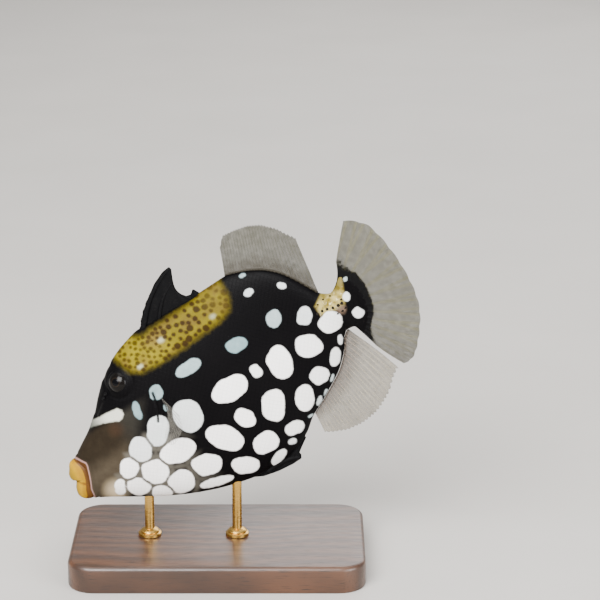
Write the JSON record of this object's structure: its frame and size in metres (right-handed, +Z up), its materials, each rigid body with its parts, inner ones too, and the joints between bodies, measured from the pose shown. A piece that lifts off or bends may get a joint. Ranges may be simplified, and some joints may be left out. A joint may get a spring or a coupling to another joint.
{
  "type": "clown triggerfish",
  "caption": "Young clown triggerfish, a still life-size model, nose down with its tail bent to the left, held over a flat wooden base by brass rods.",
  "frame": {"origin": "centre of the underside of the stand's base", "axes": "+Z up, +X the way the fish's tail points when seen from above, so its head looks towards -X; the fish's left side faces -Y"},
  "size_m": [0.0898, 0.044, 0.0939],
  "materials": {
    "skin": "wet satin skin of fine plates, black with white spots and a yellow saddle",
    "lips": "smooth, orange yellow",
    "eyes": "glossy, dark brown with a thin bronze rim",
    "dark_fins": "black, rough spines with skin between them",
    "clear_fins": "thin clear skin on fine pale rays",
    "stand_wood": "satin dark walnut",
    "stand_brass": "fine turned satin"
  },
  "bodies": {
    "root": {"head": "skin", "trunk": "skin", "tail_peduncle": "skin", "upper_lip": "lips", "lower_lip": "lips", "eye_left": "eyes", "eye_right": "eyes", "first_dorsal_fin": "dark_fins", "pelvic_flap": "dark_fins", "second_dorsal_fin": "clear_fins", "anal_fin": "clear_fins", "caudal_fin": "clear_fins", "pectoral_fin_left": "clear_fins", "pectoral_fin_right": "clear_fins", "stand_base": "stand_wood", "stand_rod_front": "stand_brass", "stand_rod_rear": "stand_brass"}
  },
  "joints": []
}
